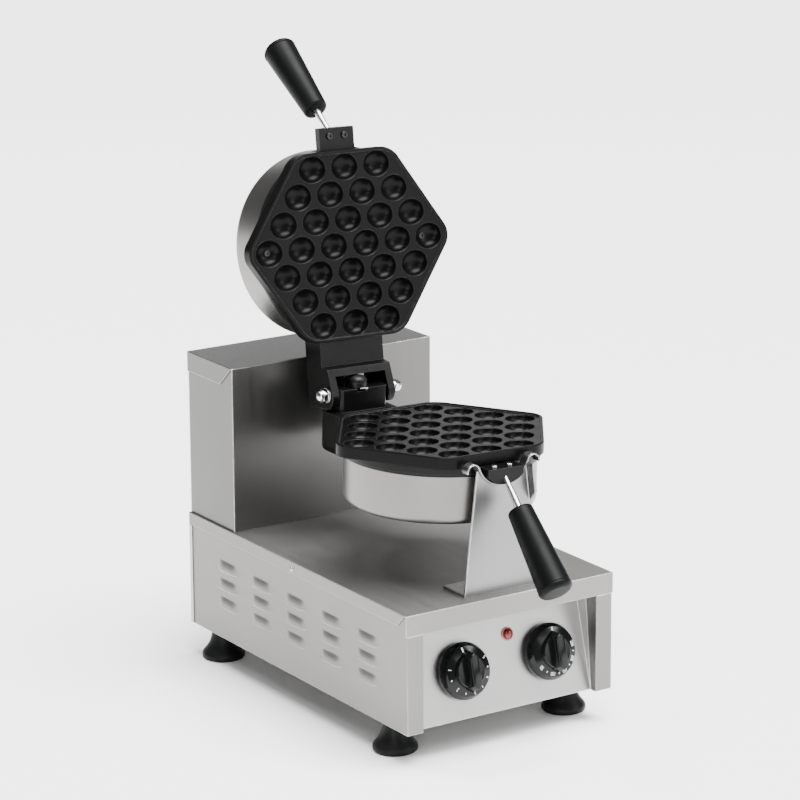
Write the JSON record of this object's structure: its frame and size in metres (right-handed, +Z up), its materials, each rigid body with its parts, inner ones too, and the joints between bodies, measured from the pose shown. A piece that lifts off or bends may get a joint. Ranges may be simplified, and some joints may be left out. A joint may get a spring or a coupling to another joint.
{
  "type": "egg waffle pan",
  "caption": "Countertop egg waffle maker: hinged hexagonal mould plates with egg-shaped cavities that roll on a shaft over a stainless steel base with timer and thermostat dials.",
  "frame": {"origin": "on the floor, below the middle of the footprint with both handles, in the machine's middle plane", "axes": "+Z up, +Y to the back (tower), +X to the right as the user faces the dials; the front faces -Y"},
  "size_m": [0.2568, 0.5455, 0.6527],
  "materials": {
    "sheet_steel": "brushed stainless sheet, satin",
    "drum_steel": "spun stainless cover, satin",
    "coated_casting": "cast aluminium under a black non-stick coating, semi-matt",
    "black_casting": "cast aluminium, black heat-proof paint",
    "handle_black": "black phenolic, slight sheen",
    "dial_black": "glossy black with white ticks and plain numbers",
    "foot_rubber": "black rubber, matt",
    "lamp_red": "clear red plastic lens",
    "bright_fastener": "bright plated steel",
    "dark_fastener": "blackened steel",
    "shaft_steel": "turned steel",
    "bush_bronze": "sintered bronze",
    "plate_steel": "zinc plated steel plate",
    "switch_plastic": "pale heat-proof plastic",
    "heater_ring": "cast-in heater ring",
    "insulation_wool": "pressed mineral fibre",
    "black_fitting": "black nylon"
  },
  "bodies": {
    "base": {"base_top_cover": "sheet_steel", "side_panel_left": "sheet_steel", "side_panel_right": "sheet_steel", "base_rear_panel": "sheet_steel", "base_bottom_plate": "sheet_steel", "control_panel": "sheet_steel", "foot_front_left": "foot_rubber", "foot_front_right": "foot_rubber", "foot_rear_left": "foot_rubber", "foot_rear_right": "foot_rubber", "foot_screws": "bright_fastener", "timer_body": "switch_plastic", "thermostat_body": "switch_plastic", "indicator_lamp_lens": "lamp_red", "indicator_lamp_body": "black_fitting", "tower_hood": "sheet_steel", "tower_side_left": "sheet_steel", "tower_side_right": "sheet_steel", "tower_rear_panel": "sheet_steel", "front_bearing_plate": "plate_steel", "rear_bearing_plate": "plate_steel", "front_bush": "bush_bronze", "rear_bush": "bush_bronze", "cradle_plate": "sheet_steel", "cradle_screws": "bright_fastener", "cradle_strip": "sheet_steel", "cover_screws": "bright_fastener", "cable_gland": "black_fitting", "terminal_block": "switch_plastic"},
    "pans": {"roll_shaft": "shaft_steel", "shaft_collar": "shaft_steel", "lead_bush": "black_fitting", "hinge_pin": "shaft_steel", "hinge_washers": "bright_fastener", "hinge_nuts": "bright_fastener", "lower_carrier": "black_casting", "lower_mould_plate": "coated_casting", "lower_mould_screws": "dark_fastener", "lower_drum_cover": "drum_steel", "lower_heater": "heater_ring", "lower_insulation": "insulation_wool", "lower_drum_bolt": "bright_fastener", "lower_handle_rod": "bright_fastener", "lower_handle_grip": "handle_black", "lower_lug_screws": "bright_fastener"},
    "lid": {"upper_carrier": "black_casting", "upper_mould_plate": "coated_casting", "upper_mould_screws": "dark_fastener", "upper_drum_cover": "drum_steel", "upper_heater": "heater_ring", "upper_insulation": "insulation_wool", "upper_drum_bolt": "bright_fastener", "upper_handle_rod": "bright_fastener", "upper_handle_grip": "handle_black", "upper_lug_screws": "dark_fastener"},
    "timer_dial": {"timer_knob": "dial_black", "timer_spindle": "shaft_steel"},
    "thermostat_dial": {"thermostat_knob": "dial_black", "thermostat_spindle": "shaft_steel"}
  },
  "joints": [
    {"name": "pan_roll", "type": "hinge", "parent": "base", "child": "pans", "pos_m": [0, 0, 0.2989], "axis": [0, 1, 0], "range_deg": [-20, 18]},
    {"name": "lid_hinge", "type": "hinge", "parent": "pans", "child": "lid", "pos_m": [0.00015, 0.0936, 0.3042], "axis": [0.9996, 0, -0.0276], "range_deg": [0, 99.2]},
    {"name": "timer_turn", "type": "hinge", "parent": "base", "child": "timer_dial", "pos_m": [-0.0463, -0.16292, 0.08103], "axis": [0, -0.9652, 0.2615], "range_deg": [-300, 0]},
    {"name": "thermostat_turn", "type": "hinge", "parent": "base", "child": "thermostat_dial", "pos_m": [0.0581, -0.16292, 0.08103], "axis": [0, -0.9652, 0.2615], "range_deg": [-270, 0]}
  ]
}
